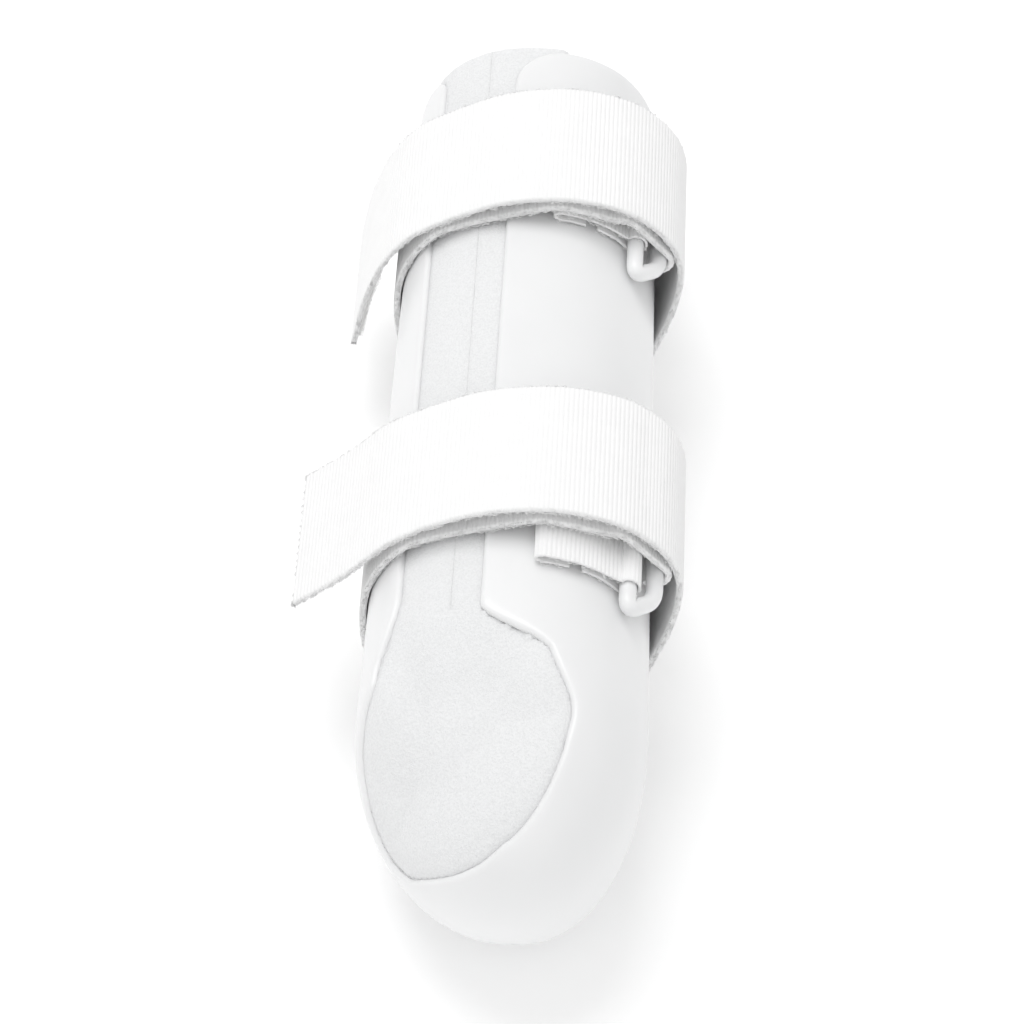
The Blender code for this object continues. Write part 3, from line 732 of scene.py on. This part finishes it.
def make_strap(side):
    far, near = strap_edges(side)
    gathered = start_edges(side)
    low, high = OVERLAP_LIFT[side]
    turn, wrap, tail, tip = strap_routes(side)

    def level(share):
        return 0.0, 0.0

    def full(share):
        return far, near

    def tapered(share):
        t = ease(share / 0.10)
        return mix(gathered[0], far, t), mix(gathered[1], near, t)

    def tail_lift(share):
        rise = ease((share - 0.3) / 0.5)
        return low * rise, high * rise

    def tip_lift(share):
        fade = 1 - ease(2.2 * share)
        return low * fade, high * fade

    wrap_at, tail_at = lengths(wrap), lengths(tail)
    reach = SEAM_REACH
    start_end = 8.0
    wrap_cut = wrap_at[-1] - reach
    tail_cut = tail_at[-1] - reach

    def cut(route, at, first, last):
        """The stretch of a route between two distances."""
        keep = (at > first) & (at < last)
        ends = resample(route, [first, last], at)
        return np.concatenate([ends[:1], route[keep], ends[1:]])

    start_route = np.concatenate([turn, cut(wrap, wrap_at, 0.0, start_end)])
    start_length = lengths(start_route)[-1]
    turn_length = start_length - start_end

    def start_width(share):
        gone = (share * start_length - turn_length) / wrap_at[-1]
        return tapered(max(0.0, gone))

    start = strip(f"webbing_start_{side}", start_route, 0.0, start_width, level, webbing,
                  STRAP_THICK, soft=(True, False), loops=2.0)
    body = strip(f"webbing_wrap_{side}", cut(wrap, wrap_at, start_end, wrap_cut), start_length,
                 lambda s: tapered(mix(start_end, wrap_cut, s) / wrap_at[-1]), level, webbing,
                 STRAP_THICK, loops=5.0)
    done = start_length + wrap_cut - start_end
    tail_route = np.concatenate([cut(wrap, wrap_at, wrap_cut, wrap_at[-1]),
                                 cut(tail, tail_at, 0.1, tail_cut)])
    tail_length = lengths(tail_route)[-1]
    upper = strip(f"webbing_tail_{side}", tail_route, done, full,
                  lambda s: tail_lift(max(0.0, s * tail_length - reach) / tail_at[-1]), webbing,
                  STRAP_THICK, loops=5.0)
    tip_route = np.concatenate([cut(tail, tail_at, tail_cut, tail_at[-1]), tip[1:]])
    tip_length = lengths(tip_route)[-1]

    def end_lift(share):
        gone = share * tip_length - reach
        if gone < 0:
            return tail_lift(1 + gone / tail_at[-1])
        return tip_lift(gone / (tip_length - reach))

    end = strip(f"webbing_tip_{side}", tip_route, done + tail_length, full, end_lift, webbing,
                STRAP_THICK, soft=(False, True), loops=7.0)

    for piece, node in ((start, "start"), (body, "wrap"), (upper, "tail"), (end, "tip")):
        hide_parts(f"strap_{node}_{side}")
    blend_over(start)
    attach(body, "protector")
    blend_over(upper)
    blend_over(end)
    make_hook(side, tip)


def make_hook(side, tip):
    """Hook tape under the strap's free end: a thin base set with small bent hooks."""
    at = lengths(tip)
    first = at[-1] - HOOK_LENGTH + (0 if side == "far" else 4.0)
    keep = np.linspace(first, at[-1] - 1.5, 60)
    middle = resample(tip, keep, at)
    along = np.gradient(middle, axis=0)
    along /= np.linalg.norm(along, axis=1, keepdims=True)
    normal = np.stack([along[:, 1], -along[:, 0]], axis=1)
    below = STRAP_THICK / 2 + 0.15
    across = np.linspace(-HOOK_WIDTH / 2, HOOK_WIDTH / 2, 45)

    def face(out):
        spot = middle - normal * out
        grid = np.zeros((len(keep), len(across), 3))
        grid[..., 0], grid[..., 2] = spot[:, 0:1], spot[:, 1:2]
        grid[..., 1] = STRAPS[side] + across[None]
        return grid

    foot = face(below + HOOK_THICK)[::2, ::2].reshape(-1, 3)
    down = np.repeat(-normal[::2], len(across[::2]), axis=0)
    down = np.stack([down[:, 0], np.zeros(len(down)), down[:, 1]], axis=1)
    lean = np.array([0.0, 1.0, 0.0]) * rng.choice([-1.0, 1.0], (len(foot), 1))
    steps = ((-0.1, 0.0), (0.3, 0.0), (0.6, 0.08), (0.75, 0.25), (0.66, 0.42))
    paths = np.stack([foot + down * h * 0.85 + lean * w for h, w in steps], axis=1)
    hook = add_sheet(f"hook_tape_{side}", face(below), face(below + HOOK_THICK), hooks,
                     tubes(paths, HOOK_RADIUS, 3))
    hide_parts(f"hook_{side}")
    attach(hook, f"{side}_tip")


# ---------------------------------------------------------------- ring and chafe

def make_ring(side):
    held, free = local(side, RING_HELD), local(side, RING_FREE)
    middle = ring_middle(side)
    corners = [(held, -HELD_HALF), (free, -FREE_HALF), (free, FREE_HALF), (held, HELD_HALF)]
    points = [Vector((spot.x, y + middle, spot.y)) for spot, y in corners]
    path = []
    for i, here in enumerate(points):
        back = (points[i - 1] - here).normalized() * RING_CORNER
        ahead = (points[(i + 1) % 4] - here).normalized() * RING_CORNER
        path += [here + back * (1 - t) ** 2 + ahead * t ** 2 for t in np.linspace(0, 1, 12)]
        run = points[(i + 1) % 4] - here
        inner = run.length - 2 * RING_CORNER
        count = int(inner / 3.0)
        path += [here + run.normalized() * (RING_CORNER + inner * k / count) for k in range(1, count)]
    verts, quads = tubes([[tuple(p) for p in path]], BAR_RADIUS, 28, closed=True)
    ring = add_mesh(f"ring_plastic_{side}", verts, quads, plastic)
    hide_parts(f"ring_{side}")
    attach(ring, f"{side}_ring")


def make_chafe(side):
    """Webbing folded flat on the flap and round the ring's bar. One end is lapped inside."""
    y = strap_section(side)
    held = local(side, RING_HELD)
    fold, turn = upper_angle(y, CHAFE_FOLD_X), upper_angle(y, CHAFE_TURN_X)
    low = [offset_point(y, mix(turn, fold, i / 5), CHAFE_LOW) for i in range(6)]
    high = [offset_point(y, mix(fold, turn, i / 5), CHAFE_HIGH) for i in range(6)]
    bulge = offset_point(y, fold + 2.2, (CHAFE_LOW + CHAFE_HIGH) / 2)
    bar = [Vector(p) for p in arc(held, BAR_RADIUS + FIT + CHAFE_THICK / 2, 128, -122, 12)]
    loop = smooth_route([low[3]] + low[4:] + [bulge] + high + bar + low[:3], 0.5)
    middle = STRAPS[side] + CHAFE_SHIFT[side]
    half = CHAFE_WIDTH[side] / 2
    route = np.array([tuple(p) for p in loop])
    chafe = strip(f"chafe_webbing_{side}", route[::-1], 0.4, lambda s: (middle + half, middle - half),
                  lambda s: (0.0, 0.0), webbing, CHAFE_THICK, ribs=True, loops=1.6)
    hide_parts(f"chafe_{side}")
    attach(chafe, "protector")


# ---------------------------------------------------------------- floor, light and camera

def make_stage():
    bpy.ops.mesh.primitive_plane_add(size=6.0)
    floor = bpy.context.active_object
    floor.name = "floor"
    floor.data.materials.append(floor_material())

    world = bpy.data.worlds.new("studio")
    world.use_nodes = True
    world.node_tree.nodes["Background"].inputs["Color"].default_value = (1.0, 1.0, 1.0, 1.0)
    world.node_tree.nodes["Background"].inputs["Strength"].default_value = 0.72
    bpy.context.scene.world = world

    add_light("overhead", (-0.25, 0.35, 1.3), 0.9, 6.8)
    add_light("front", (0.0, -1.0, 0.8), 1.2, 1.9)


def add_light(name, place, size, power):
    data = bpy.data.lights.new(name, "AREA")
    data.shape = "DISK"
    data.size = size
    data.energy = power
    light = bpy.data.objects.new(name, data)
    light.location = place
    light.rotation_euler = (Vector((0, 0, 0.03)) - Vector(place)).to_track_quat("-Z", "Y").to_euler()
    bpy.context.scene.collection.objects.link(light)


def make_camera():
    turn, rise = radians(VIEW_AZIMUTH), radians(VIEW_ELEVATION)
    target = Vector(VIEW_TARGET) * MM + Vector(ORIGIN)
    back = Vector((sin(turn) * cos(rise), -cos(turn) * cos(rise), sin(rise)))
    data = bpy.data.cameras.new("camera")
    data.lens = VIEW_LENS
    data.sensor_width = 36.0
    camera = bpy.data.objects.new("camera", data)
    camera.location = target + back * VIEW_DISTANCE
    camera.rotation_euler = (-back).to_track_quat("-Z", "Y").to_euler()
    bpy.context.scene.collection.objects.link(camera)
    bpy.context.scene.camera = camera


# ---------------------------------------------------------------- assembly

plastic = plastic_material()
foam = foam_material()
webbing = webbing_material()
hooks = hook_material()
rivets = rivet_material()

make_camera()
make_shell()
make_liner()
for side_name in STRAPS:
    make_strap(side_name)
    make_ring(side_name)
    make_chafe(side_name)
for node_name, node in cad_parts.items():
    if node_name.startswith("rivet"):
        node.data.materials.clear()
        node.data.materials.append(rivets)
make_stage()

bpy.context.scene.view_settings.view_transform = "Standard"
